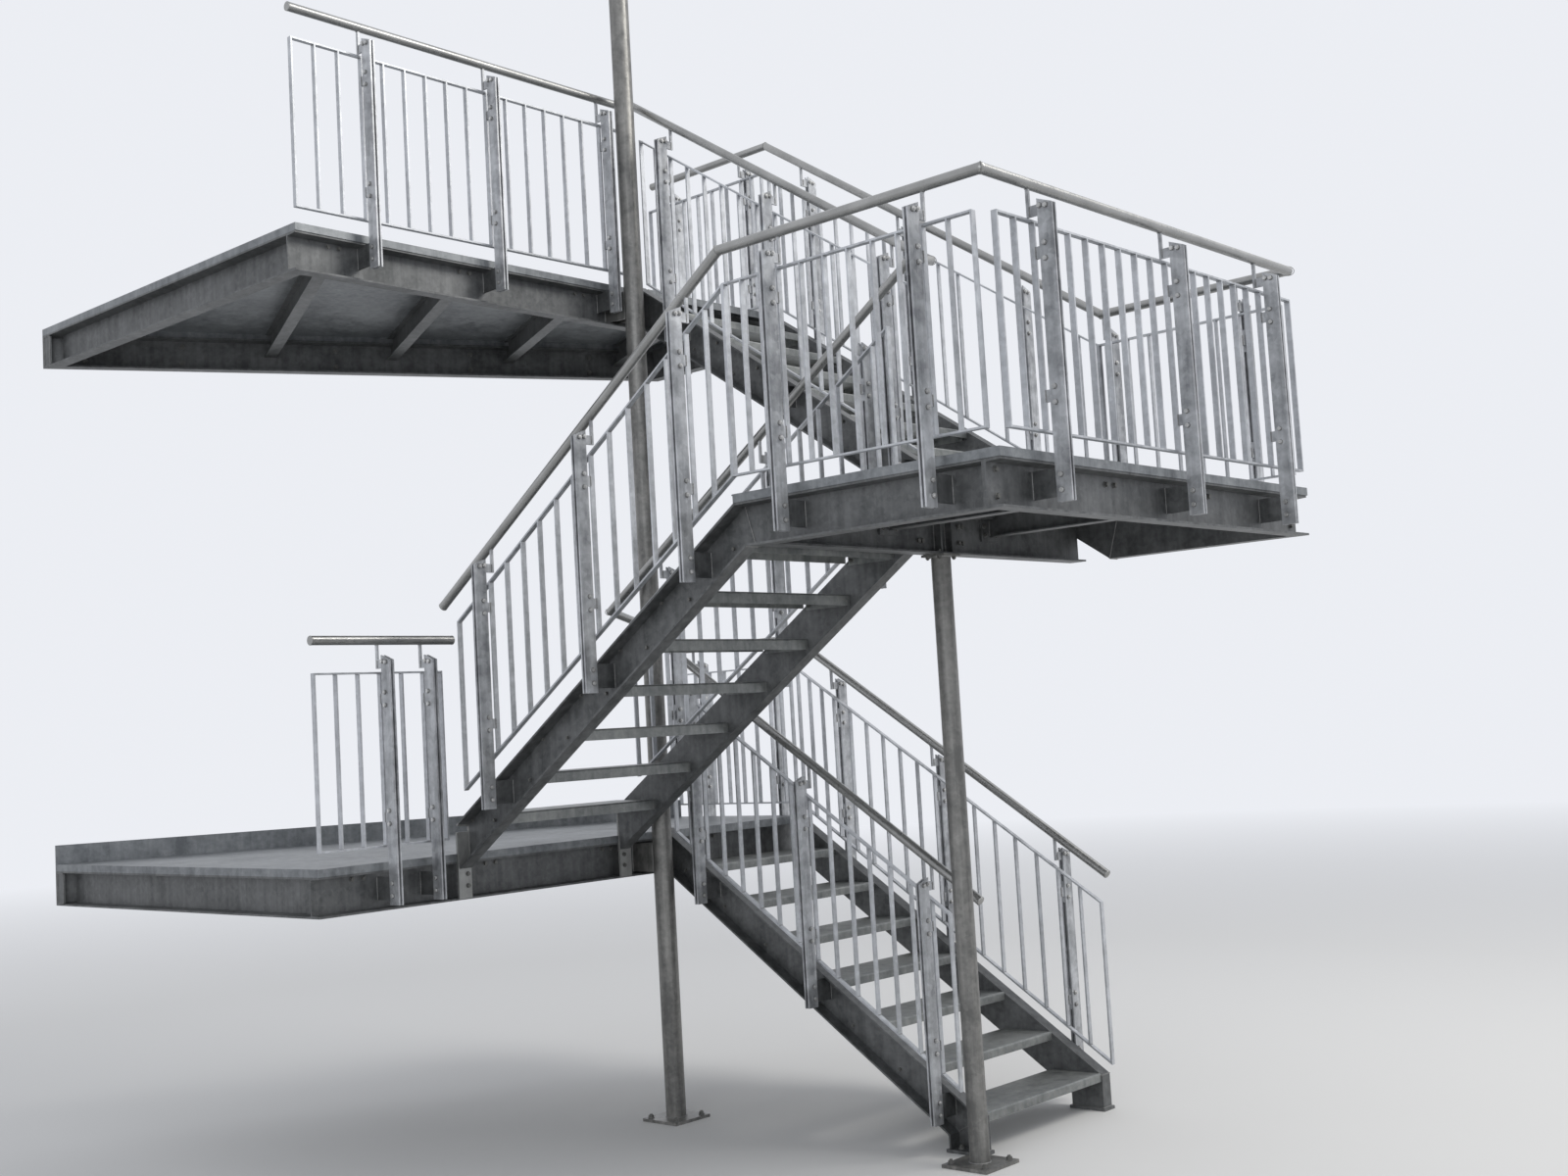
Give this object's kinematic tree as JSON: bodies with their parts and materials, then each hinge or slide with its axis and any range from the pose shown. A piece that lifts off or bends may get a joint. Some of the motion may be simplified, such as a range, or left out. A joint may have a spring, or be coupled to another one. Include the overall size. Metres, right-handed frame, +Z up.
{
  "type": "fire escape stair",
  "caption": "Outdoor steel switchback stair with two wall platforms, a mid landing on a round post, folded treads and bar railings.",
  "frame": {"origin": "middle of the underside of the tall post's foot plate, at ground level", "axes": "+X outwards along the flights, from the platforms towards the mid landing, +Y across the flights towards flights 1 and 3, +Z up"},
  "size_m": [5.789, 3.245, 6.42],
  "materials": {
    "galvanized_steel": "hot-dip galvanized, dull grey",
    "handrail_tube": "galvanized tube, satin"
  },
  "bodies": {
    "root": {"tall_post": "galvanized_steel", "landing_post": "galvanized_steel", "lower_front_beam": "galvanized_steel", "lower_side_beams": "galvanized_steel", "lower_wall_beam": "galvanized_steel", "lower_joists": "galvanized_steel", "lower_deck": "galvanized_steel", "lower_upstand": "galvanized_steel", "upper_front_beam": "galvanized_steel", "upper_side_beams": "galvanized_steel", "upper_wall_beam": "galvanized_steel", "upper_joists": "galvanized_steel", "upper_deck": "galvanized_steel", "landing_near_beam": "galvanized_steel", "landing_outer_beam": "galvanized_steel", "landing_far_beam": "galvanized_steel", "landing_cross_beam": "galvanized_steel", "landing_joist": "galvanized_steel", "landing_deck": "galvanized_steel", "flight_1_stringers": "galvanized_steel", "flight_2_stringers": "galvanized_steel", "flight_3_stringers": "galvanized_steel", "flight_1_feet": "galvanized_steel", "flight_1_treads": "galvanized_steel", "flight_2_treads": "galvanized_steel", "flight_3_treads": "galvanized_steel", "flight_1_posts": "galvanized_steel", "flight_2_posts": "galvanized_steel", "flight_3_posts": "galvanized_steel", "landing_rail_posts": "galvanized_steel", "lower_rail_posts": "galvanized_steel", "upper_rail_posts": "galvanized_steel", "rail_brackets": "galvanized_steel", "flight_1_near_panel": "galvanized_steel", "flight_1_far_panel": "galvanized_steel", "flight_2_near_panel": "galvanized_steel", "flight_2_inner_panel": "galvanized_steel", "flight_3_inner_panel": "galvanized_steel", "flight_3_far_panel": "galvanized_steel", "landing_outer_panel": "galvanized_steel", "lower_panels": "galvanized_steel", "upper_panels": "galvanized_steel", "outer_handrail": "handrail_tube", "inner_handrail": "handrail_tube", "ground_handrail": "handrail_tube", "lower_handrail": "handrail_tube"}
  },
  "joints": []
}
